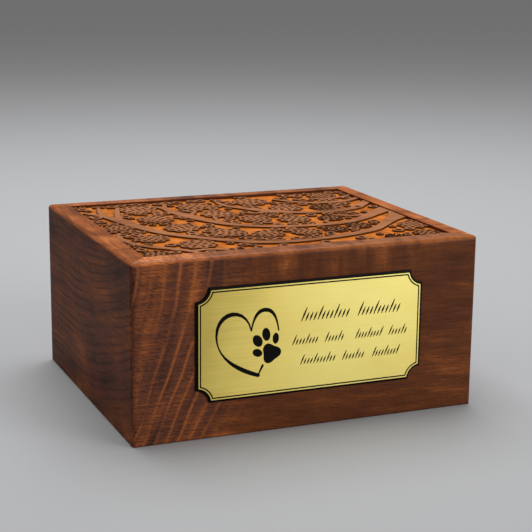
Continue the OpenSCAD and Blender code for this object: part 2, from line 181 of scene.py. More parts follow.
# The paw: middle, two radii and turn in degrees of each toe, then its pad
PAW_TOES = [[-33.1, -6.2, 3.0, 2.2, -24], [-33.0, 0.6, 2.7, 3.7, 32],
            [-27.9, 3.9, 2.4, 3.8, 10], [-22.2, 1.1, 1.9, 3.2, -2]]
PAW_PAD, PAD_R, PAD_TILT, PAD_LOBE = [-25.0, -7.1], 5.3, 34, 0.16
# Rows of strokes in groups: where each group starts and ends, height of the row's foot,
# length of a tall stroke, width of a stroke
STROKE_ROWS = [[[[-8, 22], [27, 54]], 9.4, 7.6, 1.15],
               [[[-13, 3], [7, 19], [26, 43], [47, 59]], -4.0, 5.6, 0.95],
               [[[-8, 14], [18, 32], [37, 54]], -15.8, 5.6, 0.95]]
# Their lean in degrees, a short stroke's share of a tall one, the pitch in widths, and how
# often one is tall. Each is a shape of rows: a share of its rise, and of its width there.
STROKE_LEAN, SHORT_STROKE, STROKE_PITCH, TALL_EVERY = 24, 0.6, 2.1, 4
STROKE_SHAPE = [[0, 0.4], [0.5, 1], [1, 0.4]]

# ---- The view and the lights ----
VIEW_AZIMUTH, VIEW_ELEVATION, VIEW_ROLL = -22.67, 13.24, 0.60
VIEW_DISTANCE = 0.874
VIEW_AIM = Vector((0.0096, 0.0020, 0.0724))
VIEW_LENS, VIEW_SENSOR = 95.9, 36
FLOOR_SIZE = 400
# Square lights that face the box: name, place, size, power and colour
LIGHTS = [["overhead", (0.1, 0.45, 1.3), 1.2, 19, (1, 1, 1)],
          ["front_right", (1.9, -2.3, 0.7), 1.6, 52, (1, 1, 1)],
          ["front_left", (-1.1, -0.9, 0.8), 0.9, 1.5, (1, 0.9, 0.8)]]
SKY_COLOUR, SKY_STRENGTH = (1.0, 0.96, 0.92, 1), 0.40


# ---- Curves and distances ----
def through(points, steps):
    """Catmull-Rom curve: between b and c, with neighbours a and d, the point at t is
    half of 2b + (c - a)t + (2a - 5b + 4c - d)t^2 + (3b - a - 3c + d)t^3."""
    p = np.array(points, float)
    p = np.vstack([p[:1], p, p[-1:]])
    a, b, c, d = (p[k:len(p) - 3 + k] for k in range(4))
    t = (np.arange(steps) / steps)[:, None, None]
    rows = (2 * b + (c - a) * t + (2 * a - 5 * b + 4 * c - d) * t ** 2
            + (3 * b - a - 3 * c + d) * t ** 3) / 2
    return np.vstack([rows.transpose(1, 0, 2).reshape(-1, p.shape[1]), p[-1:]])


def chain(points, steps):
    """Cubic curves end to end, each with two handles between its ends: the point at t is
    the sum of the four points weighted by (1-t)^3, 3t(1-t)^2, 3t^2(1-t) and t^3."""
    p = np.array(points, float)
    t = (np.arange(steps) / steps)[:, None]
    rows = [(1 - t) ** 3 * p[i] + 3 * t * (1 - t) ** 2 * p[i + 1]
            + 3 * t ** 2 * (1 - t) * p[i + 2] + t ** 3 * p[i + 3]
            for i in range(0, len(p) - 3, 3)]
    return np.vstack(rows + [p[-1:]])


def off_stroke(x, y, path, reach):
    """Signed distance to a stroke of rows [x, y, width], negative inside: on each stretch
    the distance to its nearest point, less half the width there. Only points within reach
    of the stroke are measured."""
    best = np.full(x.shape, FAR)
    for (ax, ay, aw), (bx, by, bw) in zip(path[:-1], path[1:]):
        edge = reach + max(aw, bw) / 2
        close = ((x > min(ax, bx) - edge) & (x < max(ax, bx) + edge)
                 & (y > min(ay, by) - edge) & (y < max(ay, by) + edge))
        px, py, dx, dy = x[close] - ax, y[close] - ay, bx - ax, by - ay
        t = np.clip((px * dx + py * dy) / (dx * dx + dy * dy + TINY), 0, 1)
        gap = np.hypot(px - t * dx, py - t * dy) - (aw + t * (bw - aw)) / 2
        best[close] = np.minimum(best[close], gap)
    return best


def off_strokes(x, y, paths, reach):
    """Signed distance to the nearest of several strokes."""
    return np.minimum.reduce([off_stroke(x, y, path, reach) for path in paths])


def off_discs(x, y, discs, reach):
    """Signed distance to the nearest disc of rows [x, y, radius], negative inside."""
    best = np.full(x.shape, FAR)
    for cx, cy, r in discs:
        edge = reach + r
        close = (abs(x - cx) < edge) & (abs(y - cy) < edge)
        best[close] = np.minimum(best[close], np.hypot(x[close] - cx, y[close] - cy) - r)
    return best


# ---- A relief cut from a sheet ----
def snapped(x, y, distance, pitch):
    """Moves each grid point that lies within half a pitch of an outline onto it, straight
    down the slope of the signed distance. Points on the sheet's border slide along it.
    Returns the moved grid and its distances, which are 0 on the outlines."""
    x, y = x.copy(), y.copy()
    near = abs(distance(x, y)) < pitch / 2
    longest, least_slope, on_line = pitch / 3, 0.1, pitch * 0.2
    free_x, free_y = np.ones(x.shape), np.ones(x.shape)
    free_x[:, [0, -1]] = 0
    free_y[[0, -1], :] = 0
    fx, fy, px, py = free_x[near], free_y[near], x[near], y[near]
    probe = pitch * 0.05
    for _ in range(3):
        gap = distance(px, py)
        gx = fx * (distance(px + probe, py) - distance(px - probe, py)) / (2 * probe)
        gy = fy * (distance(px, py + probe) - distance(px, py - probe)) / (2 * probe)
        step = np.clip(gap / np.maximum(gx * gx + gy * gy, least_slope), -longest, longest)
        px, py = px - step * gx, py - step * gy
    x[near], y[near] = px, py
    gaps = distance(x, y)
    gaps[near & (abs(gaps) < on_line)] = 0
    return x, y, gaps


def corners(gaps):
    """Splits each grid cell into two triangles, along the diagonal that an outline doesn't
    cross. Returns rows of three grid point numbers, counter-clockwise."""
    rows, cols = gaps.shape
    number = np.arange(rows * cols).reshape(rows, cols)
    a, b, c, d = number[:-1, :-1], number[:-1, 1:], number[1:, 1:], number[1:, :-1]
    crossed = (gaps[:-1, :-1] * gaps[1:, 1:] < 0)[..., None]
    first = np.where(crossed, np.stack([a, b, d], -1), np.stack([a, b, c], -1))
    second = np.where(crossed, np.stack([b, c, d], -1), np.stack([a, c, d], -1))
    return np.concatenate([first.reshape(-1, 3), second.reshape(-1, 3)])


def relief(x, y, cells, level, heights, feet):
    """A closed solid. level says for each triangle of cells whether it is left out, ground
    or face, and heights holds the heights of the grid points as ground and as face. Where
    two levels meet, a wall joins them along the shared edge. Round the outside the border
    drops through feet, rows of [scale x, scale y, height], and a fan about the middle
    closes the underside. Returns the points, the triangles, and for each point its number
    among the stacked layers: ground, face, one for each foot, and the middle."""
    count = x.size
    flat = np.stack([x.ravel(), y.ravel()], -1)
    layers = [np.column_stack([flat, h.ravel()]) for h in heights]
    layers += [np.column_stack([flat * [sx, sy], np.full(count, z)]) for sx, sy, z in feet]
    first_foot, last_foot = len(heights), len(layers) - 1
    cells, level = cells[level > LEFT_OUT], level[level > LEFT_OUT]
    faces = [cells + (level - GROUND)[:, None] * count]
    edges = cells[:, [0, 1, 1, 2, 2, 0]].reshape(-1, 2)
    owner = np.repeat(level, 3)
    low, high = edges.min(1), edges.max(1)
    order = np.lexsort((owner, high, low))
    edges, owner, low, high = edges[order], owner[order], low[order], high[order]
    paired = (low[1:] == low[:-1]) & (high[1:] == high[:-1])
    steps = np.flatnonzero(paired & (owner[1:] > owner[:-1])) + 1
    alone = np.ones(len(edges), bool)
    alone[1:] &= ~paired
    alone[:-1] &= ~paired

    def drop(pairs, top, bottom):
        i, j = pairs[:, 0], pairs[:, 1]
        ti, tj, bi, bj = i + top * count, j + top * count, i + bottom * count, j + bottom * count
        faces.extend([np.stack([ti, bi, bj], -1), np.stack([ti, bj, tj], -1)])

    drop(edges[steps], FACE - GROUND, 0)
    for rank in (GROUND, FACE):
        drop(edges[alone & (owner == rank)], rank - GROUND, first_foot)
    border = edges[alone]
    for foot in range(first_foot, last_foot):
        drop(border, foot, foot + 1)
    middle = len(layers) * count
    i, j = border[:, 0] + last_foot * count, border[:, 1] + last_foot * count
    faces.append(np.stack([i, np.full(len(i), middle), j], -1))
    points = np.vstack(layers + [[[0, 0, feet[-1][2]]]])
    used, triangles = np.unique(np.concatenate(faces), return_inverse=True)
    return points[used], triangles.reshape(-1, 3), used


def solid(name, points, triangles):
    """A mesh object from arrays of points and triangles, smooth but for its sharp edges."""
    mesh = bpy.data.meshes.new(name)
    mesh.vertices.add(len(points))
    mesh.vertices.foreach_set("co", np.ascontiguousarray(points, np.float32).ravel())
    mesh.loops.add(triangles.size)
    mesh.loops.foreach_set("vertex_index", triangles.astype(np.int32).ravel())
    mesh.polygons.add(len(triangles))
    mesh.polygons.foreach_set("loop_start", np.arange(0, triangles.size, 3, dtype=np.int32))
    mesh.update(calc_edges=True)
    mesh.polygons.foreach_set("use_smooth", np.ones(len(triangles), bool))
    mesh.set_sharp_from_angle(angle=math.radians(SHARP_ANGLE))
    piece = bpy.data.objects.new(name, mesh)
    bpy.context.scene.collection.objects.link(piece)
    return piece


def point_values(piece, name, values):
    """Stores one number for each point, for a finish to read."""
    attribute = piece.data.attributes.new(name, "FLOAT", "POINT")
    attribute.data.foreach_set("value", values.astype(np.float32))


# ---- Layout of the carving ----
def placed(rows, share=1, grow=0):
    """Discs in millimetres from the middle of the opening, for rows of places and radii."""
    p = np.array(rows, float)
    return np.column_stack([(p[:, 0] / 100 - 0.5) * OPEN_W, (p[:, 1] / 100 - 0.5) * OPEN_D,
                            (p[:, 2] * share + grow) * CARVE_K])


def spread(discs, count, at, radius, turn):
    """Around each disc, count smaller ones at a share of its radius. Blossom number n is
    turned by n times BLOSSOM_TURN, and the ring by turn of its own spacing."""
    angle = np.radians(np.arange(len(discs))[:, None] * BLOSSOM_TURN
                       + (np.arange(count) + turn) * 360 / count)
    cx = discs[:, :1] + at * discs[:, 2:] * np.cos(angle)
    cy = discs[:, 1:2] + at * discs[:, 2:] * np.sin(angle)
    r = np.broadcast_to(radius(discs[:, 2:]), cx.shape)
    return np.stack([cx, cy, r], -1).reshape(-1, 3)


def berries(r, net, reach, discs, strokes):
    """Discs of radius r on a net of staggered rows, each moved a little by sines of its row
    and column, kept where they are at least reach from what is already there and out of
    the clearings."""
    step, jitter = net * CARVE_K, BERRY_JITTER * CARVE_K
    j, i = np.meshgrid(np.arange(math.floor(OPEN_D / step / NET_ROW) + 1),
                       np.arange(math.floor(OPEN_W / step) + 1), indexing="ij")
    x = ((i + 0.5 * (j % 2) + NET_X) * step - OPEN_W / 2
         + jitter * np.sin(np.radians(JITTER_X[0] * i + JITTER_X[1] * j)))
    y = ((j * NET_ROW + NET_Y) * step - OPEN_D / 2
         + jitter * np.cos(np.radians(JITTER_Y[0] * i + JITTER_Y[1] * j)))
    space = 2 * step
    kept = ((abs(x) < OPEN_W / 2 - BERRY_INSET) & (abs(y) < OPEN_D / 2 - BERRY_INSET)
            & (off_discs(x, y, discs, space) >= reach * CARVE_K)
            & (off_discs(x, y, placed(CLEARINGS, grow=r * CLEARING_KEEP), space) >= 0)
            & (off_strokes(x, y, strokes, space) >= reach * CARVE_K))
    return np.column_stack([x[kept], y[kept], np.full(kept.sum(), r * CARVE_K)])


boughs = [through(placed(rows), BOUGH_STEPS) for rows in
          [TRUNK, SECOND_BOUGH, THIRD_BOUGH, FOURTH_BOUGH, CORNER_BOUGH] + TWIGS]
blossoms = placed(BLOSSOMS)
buds = placed([place + [BUD_R] for place in BUDS])
rounds = np.vstack([placed(BLOSSOMS, BLOSSOM_KEEP), buds])
for berry_r, berry_net, berry_reach in BERRIES:
    rounds = np.vstack([rounds, berries(berry_r, berry_net, berry_reach, rounds, boughs)])
rounds = rounds[len(blossoms):]
petals = spread(blossoms, PETALS, PETAL_AT, lambda r: r * PETAL_R, 0)
middles = blossoms * [1, 1, MIDDLE_R]
pits = np.vstack([spread(blossoms, PETALS, PIT_AT, lambda r: PIT_R * CARVE_K, 0),
                  spread(blossoms, SEEDS, SEED_AT, lambda r: SEED_R * CARVE_K, 0.5),
                  spread(blossoms, 1, 0, lambda r: SEED_R * CARVE_K, 0),
                  rounds * [1, 1, BUD_PIT]])


def figure(x, y, reach=2 * CARVE_PITCH):
    """Signed distance to the carved figure: the nearest of boughs, petals and berries,
    with the pits taken out."""
    body = np.minimum(off_strokes(x, y, boughs, reach),
                      off_discs(x, y, np.vstack([petals, middles, rounds]), reach))
    return np.maximum(body, -off_discs(x, y, pits, reach))


def seams(x, y):
    """Depth of the seams between petals: straight lines from a blossom's middle outwards
    between its petals, and a ring round the middle, each a rounded groove."""
    depth = np.zeros(x.shape)
    for n, (cx, cy, r) in enumerate(blossoms):
        near = np.hypot(x - cx, y - cy) < r
        px, py = x[near] - cx, y[near] - cy
        rho = np.hypot(px, py)
        turn = np.arctan2(py, px) - math.radians(n * BLOSSOM_TURN)
        off_line = rho * abs(np.sin((turn * PETALS / 2 + math.pi / 2) % math.pi) * 2 / PETALS)
        off_line = np.where(rho > r * MIDDLE_R, off_line, FAR)
        off = np.minimum(off_line, abs(rho - r * MIDDLE_R))
        depth[near] = np.maximum(depth[near], np.exp(-(off / SEAM_WIDTH) ** 2))
    return depth * SEAM_DEPTH


def openness(x, y):
    """0 for a point of the ground at the figure, rising to 1 where the ground is open."""
    return np.clip(figure(x, y, OPEN_REACH) / OPEN_FROM, 0, 1)


def carved_panel():
    """The top panel: a grid over the opening, snapped to the figure, with the figure as
    its face and the rest cut down to the ground, and the tongue round its foot. Its points
    carry how open the ground is there."""
    half_w, half_d = OPEN_W / 2 - BOARD_GAP, OPEN_D / 2 - BOARD_GAP
    x, y = np.meshgrid(np.linspace(-half_w, half_w, round(2 * half_w / CARVE_PITCH) + 1),
                       np.linspace(-half_d, half_d, round(2 * half_d / CARVE_PITCH) + 1))
    x, y, gaps = snapped(x, y, figure, CARVE_PITCH)
    cells = corners(gaps)
    mid_x, mid_y = x.ravel()[cells].mean(1), y.ravel()[cells].mean(1)
    level = np.where(figure(mid_x, mid_y) < 0, FACE, GROUND)
    back_z, face_z = PANEL[0].z / MM, PANEL[1].z / MM
    edge = np.exp(-np.clip(-gaps, 0, FAR) / EDGE_REACH)
    heights = [np.full(x.shape, face_z - RELIEF), face_z - EDGE_EASE * edge - seams(x, y)]
    tongue_x = (PANEL[1].x - PANEL[0].x) / MM / 2 / half_w
    tongue_y = (PANEL[1].y - PANEL[0].y) / MM / 2 / half_d
    feet = [[1, 1, back_z + TONGUE_T], [tongue_x, tongue_y, back_z + TONGUE_T],
            [tongue_x, tongue_y, back_z]]
    points, triangles, used = relief(x, y, cells, level, heights, feet)
    points = points * MM + np.array([BOX_MID.x, BOX_MID.y, 0])
    panel = solid("carved_panel", points, triangles)
    layers = [openness(x, y).ravel()] * (len(heights) + len(feet)) + [[0]]
    point_values(panel, "open", np.concatenate(layers)[used])
    return panel


# ---- The plate ----
def plate_inset(x, y):
    """How far a point lies inside the plate's outline: the least of its distances to the
    four sides and to the scooped corners."""
    scoop = np.hypot(abs(x) - PLATE_W / 2, abs(y) - PLATE_H / 2) - NOTCH_R
    return np.minimum(np.minimum(PLATE_W / 2 - abs(x), PLATE_H / 2 - abs(y)), scoop)


def swelling(points, thick, swells=1):
    """A stroke that starts thin and swells and thins along its length, by a squared sine."""
    share = np.arange(len(points)) / (len(points) - 1)
    return np.column_stack([points, HEART_THIN + (thick - HEART_THIN)
                            * np.sin(math.pi * swells * share) ** 2])


def turned(x, y, cx, cy, degrees):
    """Coordinates about a point, turned back by an angle."""
    a = math.radians(degrees)
    px, py = x - cx, y - cy
    return px * math.cos(a) + py * math.sin(a), py * math.cos(a) - px * math.sin(a)


def oval(x, y, cx, cy, a, b, tilt):
    """Nearly the signed distance to an ellipse: its equation's root, less 1, times its
    local radius."""
    px, py = turned(x, y, cx, cy, tilt)
    k = np.hypot(px / a, py / b)
    return (k - 1) * np.hypot(px, py) / np.maximum(k, TINY)


hearts = [swelling(chain(HEART_LEFT, CURVE_STEPS), LEFT_THICK, LEFT_SWELLS),
          swelling(chain(HEART_RIGHT, CURVE_STEPS), HEART_THICK),
          swelling(chain(HEART_TAIL, CURVE_STEPS), TAIL_THICK, TAIL_SWELLS)]


def paw(x, y):
    """Signed distance to the paw print: four oval toes and a three-lobed pad."""
    best = np.minimum.reduce([oval(x, y, *toe) for toe in PAW_TOES])
    px, py = turned(x, y, *PAW_PAD, PAD_TILT)
    lobes = PAD_R * (1 + PAD_LOBE * np.cos(3 * (np.arctan2(py, px) - math.pi / 2)))
    return np.minimum(best, np.hypot(px, py) - lobes)


def stroke_marks():
    """Groups of leaning strokes that stand for lines of writing. They stand on the foot of
    their row, and every few of them one is tall."""
    lean = math.radians(STROKE_LEAN)
    strokes = []
    for groups, foot, length, width in STROKE_ROWS:
        for start, end in groups:
            count = round((end - start) / (width * STROKE_PITCH))
            for n in range(count):
                x = start + (n + 0.5) * (end - start) / count
                rise = length * (1 if n % TALL_EVERY == 0 else SHORT_STROKE)
                strokes.append([[x + share * rise * math.tan(lean), foot + share * rise,
                                 width * broad] for share, broad in STROKE_SHAPE])
    return strokes


marks = stroke_marks()


def plate_face(x, y):
    """Signed distance to the bright skin, negative on it: the line inside the margin and
    the field inside the fine line, less everything that is engraved."""
    inset = plate_inset(x, y)
    line = np.maximum(MARGIN_W - inset, inset - MARGIN_W - LINE_W)
    field = MARGIN_W + LINE_W + FINE_W - inset
    design_y = y + DESIGN_DROP
    strokes = off_strokes(x, design_y, hearts + marks, PLATE_REACH)
    engraved = np.minimum(strokes, paw(x, design_y))
    return np.maximum(np.minimum(line, field), -engraved)


def plate_edges(x, y):
    """The nearer of two outlines, the plate's own and that of its bright skin."""
    outline, skin = -plate_inset(x, y), plate_face(x, y)
    return np.where(abs(outline) < abs(skin), outline, skin)


def engraved_plate():
    """The plate: a grid snapped to its outline and to the engraving, with the margin
    falling away to the edge, stood up to face the front."""
    half_w, half_h = PLATE_W / 2, PLATE_H / 2
    x, y = np.meshgrid(np.linspace(-half_w, half_w, round(PLATE_W / PLATE_PITCH) + 1),
                       np.linspace(-half_h, half_h, round(PLATE_H / PLATE_PITCH) + 1))
    x, y, gaps = snapped(x, y, plate_edges, PLATE_PITCH)
    cells = corners(gaps)
    mid_x, mid_y = x.ravel()[cells].mean(1), y.ravel()[cells].mean(1)
    level = np.where(plate_face(mid_x, mid_y) < 0, FACE, GROUND)
    level[plate_inset(mid_x, mid_y) < 0] = LEFT_OUT
    face = np.full(x.shape, PLATE_T)
    fall = np.clip(1 - plate_inset(x, y) / MARGIN_W, 0, 1)
    ground = PLATE_T - ENGRAVE_D - MARGIN_FALL * fall
    points, triangles, _ = relief(x, y, cells, level, [ground, face], [[1, 1, 0]])
    centre = (PLATE[0] + PLATE[1]) / 2
    points = np.column_stack([points[:, 0] * MM + centre.x, PLATE[1].y - points[:, 2] * MM,
                              points[:, 1] * MM + centre.z])
    return solid("engraved_plate", points, triangles)


# ---- Finishes ----
class Wire:
    """A socket of a node. Arithmetic on it adds Math nodes."""

    def __init__(self, finish, socket):
        self.finish, self.socket = finish, socket

    def math(self, operation, *values):
        return self.finish.add("Math", {"operation": operation}, dict(enumerate(values)))

    def __add__(self, other): return self.math("ADD", self, other)
    def __radd__(self, other): return self.math("ADD", other, self)
    def __sub__(self, other): return self.math("SUBTRACT", self, other)
    def __rsub__(self, other): return self.math("SUBTRACT", other, self)
    def __mul__(self, other): return self.math("MULTIPLY", self, other)
    def __truediv__(self, other): return self.math("DIVIDE", self, other)
    def __abs__(self): return self.math("ABSOLUTE", self)


class Finish:
    """A material, built from nodes that one method adds."""

    def __init__(self, name):
        self.material = bpy.data.materials.new(name)
        self.material.use_nodes = True
        self.tree = self.material.node_tree
        self.tree.nodes.clear()
        self.place = self.add("TexCoord", out="Object")

    def add(self, kind, settings=None, sockets=None, out=0):
        """Adds a node: its settings first, a ramp's stops among them, then its sockets."""
        node = self.tree.nodes.new("ShaderNode" + kind)
        for key, value in (settings or {}).items():
            if key == "stops":
                elements = node.color_ramp.elements
                while len(elements) < len(value):
                    elements.new(0.5)
                for element, (position, colour) in zip(elements, value):
                    element.position = position
                    element.color = colour
            else:
                setattr(node, key, value)
        for key, value in (sockets or {}).items():
            if isinstance(value, Wire):
                self.tree.links.new(value.socket, node.inputs[key])
            else:
                node.inputs[key].default_value = value
        return Wire(self, node.outputs[out])

    def axes(self):
        """The three coordinates of the point in its own object's frame, in metres."""
        split = self.add("SeparateXYZ", {}, {0: self.place}).socket.node
        return [Wire(self, split.outputs[k]) for k in range(3)]

    def noise(self, place, kind, move=(0, 0, 0)):
        """Smooth noise from 0 to 1 of a kind from the table."""
        stretch, detail, rough = NOISES[kind]
        spot = self.add("Mapping", {}, {"Vector": place, "Location": move, "Scale": stretch})
        return self.add("TexNoise", {}, {"Vector": spot, "Scale": 1, "Detail": detail,
                                         "Roughness": rough})

    def stretched(self, a, b, c, kind, seed):
        """Noise in three coordinates of its own."""
        return self.noise(self.add("CombineXYZ", {}, {0: a, 1: b, 2: c}), kind,
                          move=(seed, seed * 0.7, seed * 0.3))

    def ridge(self, phase, width):
        """Thin lines, one wherever phase passes a whole number, with soft sides."""
        swing = self.add("Math", {"operation": "PINGPONG"}, {0: phase, 1: 0.5})
        return self.band(swing, width, 0.0)

    def band(self, value, low, high):
        """Goes smoothly from 0 to 1 as value goes from low to high."""
        return self.add("MapRange", {"interpolation_type": "SMOOTHSTEP"},
                        {0: value, 1: low, 2: high})

    def mix(self, share, a, b):
        """Colour a, turning into colour b as share goes from 0 to 1."""
        return self.add("Mix", {"data_type": "RGBA"}, {0: share, 6: a, 7: b}, out=2)

    def ramp(self, value, stops):
        """Colours along a ramp, each stop a position and a colour."""
        return self.add("ValToRGB", {"stops": stops}, {"Fac": value})

    def bump(self, strength, distance, height):
        """A normal that follows a height, which stands for a distance in metres."""
        return self.add("Bump", {}, {"Strength": strength, "Distance": distance,
                                     "Height": height})

    def finish(self, normal=None, **sockets):
        """Joins the sockets of a Principled shader to the output and returns the material."""
        named = {key.replace("_", " "): value for key, value in sockets.items()}
        if normal is not None:
            named["Normal"] = normal
        shader = self.add("BsdfPrincipled", {}, named)
        output = self.tree.nodes.new("ShaderNodeOutputMaterial")
        self.tree.links.new(shader.socket, output.inputs["Surface"])
        return self.material


def rgb(red, green, blue):
    """A colour as it looks on a screen, 0 to 255, as the linear values that shaders take."""
    return tuple(((c / 255 + 0.055) / 1.055) ** 2.4 if c > 10 else c / 255 / 12.92
                 for c in (red, green, blue)) + (1.0,)


# Kinds of noise: features to the metre along each axis, levels of detail, and how rough it
# is. For a board's figure the axes run along the board, up it and through it.
NOISES = {"front sway": ((12, 12, 14), 2, 0.5),
          "steep bands": ((105, 18, 30), 3, 0.55),
          "upper bands": ((95, 24, 30), 3, 0.6),
          "lying bands": ((24, 135, 40), 4, 0.65),
          "front wobble": ((24, 24, 14), 2, 0.4),
          "front patches": ((34, 34, 20), 2, 0.5),
          "front ticks": ((250, 1250, 900), 2, 0.5),
          "side sway": ((12, 10, 14), 2, 0.5),
          "side bands": ((9, 120, 30), 3, 0.5),
          "side wobble": ((10, 12, 20), 2, 0.5),
          "side patches": ((20, 16, 60), 2, 0.5),
          "side ticks": ((560, 150, 900), 3, 0.6),
          "board clouds": ((20, 20, 24), 3, 0.55),
          "board fibres": ((45, 900, 1000), 4, 0.65),
          "carved grain": ((25, 700, 700), 4, 0.6),
          "carved clouds": ((30, 30, 30), 3, 0.5),
          "carved specks": ((1500, 1500, 1500), 2, 0.5),
          "carved ground": ((120, 120, 120), 3, 0.6),
          "plate brushing": ((14, 14, 5200), 3, 0.6),
          "plate clouds": ((25, 25, 40), 2, 0.5),
          "screw scratches": ((900, 3000, 900), 3, 0.6)}

# The front's figure, in metres: how far its lines sway, how much its steep bands lean, bend
# and fan out with depth below the rim, where they end and the lying ones begin, and the
# depths between which the upper bands fade out
FRONT_SWAY, BAND_LEAN, BAND_BEND, BAND_FAN = 0.010, 0.09, 4.2, 18
STEEP_TO_LYING, UPPER_FADE = (-0.074, -0.034), (0.034, 0.020)
LYING_CONTRAST = 1.35
# Its pale lines to the metre, how they wobble, how wide they are, and where they show
PALE_LINES, PALE_WOBBLE, PALE_WIDTH, PALE_SHOWS = 118, 1.8, 0.20, (0.30, 0.62)
# The sides' figure: how far its lines sway, where and how much they rise to the front, how
# warm it is, and the same four for its dark lines
SIDE_SWAY, RISE_FROM, RISE_BEND, SIDE_WARM = 0.012, 0.035, 1.7, 0.16
DARK_LINES, DARK_WOBBLE, DARK_WIDTH, DARK_SHOWS = 210, 2.0, 0.24, (0.34, 0.58)

# Rosewood from dark to pale, its warmer stain, which also warms the rim's painted highlight,
# and the plain wood of the hidden sides, which also stands for a painted shadow above the panel
WOOD_DARK, WOOD_ORANGE = rgb(44, 24, 18), rgb(158, 88, 44)
WOOD_TONES = [(0.16, WOOD_DARK), (0.40, rgb(86, 50, 37)), (0.56, rgb(112, 62, 36)),
              (0.76, WOOD_ORANGE), (0.98, rgb(206, 126, 70))]
WOOD_WARM, PLAIN_WOOD_AND_SHADOW = rgb(86, 43, 12), rgb(78, 36, 12)
# How strongly each part of the figure moves the tone, and how far each colour covers it.
# The rim's gain and share lighten its rounded edge and flat top and warm the edge to orange:
# partly worn stain, partly a painted highlight.
STREAK_GAIN, CLOUD_GAIN, FIBRE_GAIN, EDGE_SHEEN_AND_WEAR_GAIN = 1.1, 0.6, 0.7, 0.32
WARM_SHARE, EDGE_SHEEN_AND_WEAR_SHARE, PALE_SHARE, DARK_SHARE, TICK_SHARE = 0.62, 0.35, 0.75, 0.6, 0.5
TICK_SHOWS = (0.50, 0.64)
# Depths below the top of the rim, in metres: from and to where its rounded edge shows, its
# flat top shows, and the plain wood of the inner sides shows, a painted shadow above the panel
EDGE_DROP = 2.8 * MM
EDGE_FULL = EDGE_DROP * 0.4
TOP_FROM, TOP_FULL = 0.3 * MM, 0.05 * MM
PLAIN_AND_SHADOW_FROM, PLAIN_AND_SHADOW_FULL = 0.15 * MM, 0.45 * MM
# The share of a board's thickness from which its inner side is plain wood, and a painted
# shadow where it shows above the panel
INNER_SIDE = (0.95, 0.98)
WOOD_ROUGH, WOOD_BUMP, EDGE_COAT, COAT_ROUGH = 0.40, 0.3, 0.12, 0.16

# The carving: face, scorched walls, darkened further as painted shade, and ground, whose
# narrow parts are darkened as burning and painted shade, and the shares of the depth, or of
# the openness, over which one turns into the next
CARVED_FACE = [(0.35, rgb(122, 74, 44)), (0.65, rgb(172, 113, 74))]
CARVED_GROUND = [(0.35, rgb(156, 83, 24)), (0.65, rgb(208, 120, 42))]
WALL_TOP_SCORCH_AND_SHADE, WALL_FOOT, NARROW_GROUND_BURN_AND_SHADE = rgb(66, 35, 8), rgb(126, 70, 5), rgb(140, 70, 14)
FACE_TO_WALL, WALL_FADE, WALL_TO_GROUND = (0.07, 0.20), (0.35, 1.0), (0.90, 0.98)
NARROW_TO_OPEN = (0.0, 0.35)
CARVED_ROUGH, CARVED_BUMP, CARVED_SHINE = 0.55, 0.4, 0.03

# The plate: its tones, from and to which share of the engraving's depth its skin shows, and
# how the tone rises to the right, bends over, and rises to the upper right corner, a painted
# sheen of the lights on the brushed metal
GOLD_TONES = [(0.1, rgb(198, 177, 90)), (0.5, rgb(243, 220, 122)), (0.9, rgb(255, 240, 145))]
PLATE_CORE = rgb(9, 8, 7)
SKIN_FROM, SKIN_FULL = 0.55, 0.35
GOLD_LEVEL, SHEEN_RIGHT, SHEEN_BEND, SHEEN_CORNER = 0.70, 4.6, 75, 60
SKIN_METAL, CORE_ROUGH, SKIN_SMOOTHER, PLATE_BUMP, PLATE_SHINE = 0.85, 0.52, 0.13, 0.12, 0.06
BRASS_TONES = [(0.35, rgb(168, 132, 66)), (0.65, rgb(214, 180, 104))]
BRASS_METAL, BRASS_ROUGH, BRASS_BUMP = 0.95, 0.28, 0.2
FLOOR_GREY = rgb(168, 170, 173)
# Heights that the bumps stand for, in metres
WOOD_GRAIN_H, METAL_GRAIN_H = 0.2 * MM, 0.05 * MM


def front_figure(f, x, y, z, seed):
    """Streaks, thin pale lines and thin dark lines of a long board, each from 0 to 1, its
    cross fibres, and how warm it is. At the left its bands are steep and lean to the right,
    more so lower down. To the right they lie down and break up into smudges along the
    board."""
    sway = (f.noise(f.place, "front sway", (seed, 0, 0)) - 0.5) * FRONT_SWAY
    drop = RIM_Z - z
    across = x + drop * BAND_LEAN + drop * drop * (x * BAND_FAN + BAND_BEND) + sway
    lying = f.band(x - z * 0.1 + sway, *STEEP_TO_LYING)
    steep = f.stretched(across, z, y, "steep bands", seed) * 0.75 + 0.10
    top = f.stretched(x, z, y, "upper bands", seed) * 1.1 - 0.05
    flat = f.stretched(x, z + x * 0.10 + sway * 0.5, y, "lying bands", seed)
    upper = f.band(drop + abs(x - 0.02) * 0.35, *UPPER_FADE)
    flat = (flat + upper * (top - flat) - 0.5) * LYING_CONTRAST + 0.5
    streaks = steep + lying * (flat - steep)
    wobble = f.noise(f.place, "front wobble", (seed, 3, 0)) * PALE_WOBBLE
    strength = f.band(f.noise(f.place, "front patches", (0, seed, 5)), *PALE_SHOWS)
    pale = f.ridge(across * PALE_LINES + wobble, PALE_WIDTH) * strength * (1 - lying)
    ticks = f.stretched(x, z + x * 0.3, y, "front ticks", seed)
    return streaks, pale, None, (ticks - 0.5) * (1 - lying * 0.45) + 0.5, lying


def side_figure(f, x, y, z, seed):
    """The same for a side board: thin dark arcs that hang low and rise to the front."""
    sway = (f.noise(f.place, "side sway", (seed, 0, 0)) - 0.5) * SIDE_SWAY
    low = f.add("Math", {"operation": "MAXIMUM"}, {0: RISE_FROM - y, 1: 0.0})
    level = z - low * low * RISE_BEND + sway
    streaks = f.stretched(y, level, x, "side bands", seed) * 0.55 + 0.21
    wobble = f.noise(f.place, "side wobble", (seed, 3, 0)) * DARK_WOBBLE
    strength = f.band(f.noise(f.place, "side patches", (0, seed, 5)), *DARK_SHOWS)
    dark = f.ridge(level * DARK_LINES + wobble, DARK_WIDTH) * strength
    ticks = f.stretched(y, z, x, "side ticks", seed) * 0.6 + 0.2
    return streaks, None, dark, ticks, SIDE_WARM


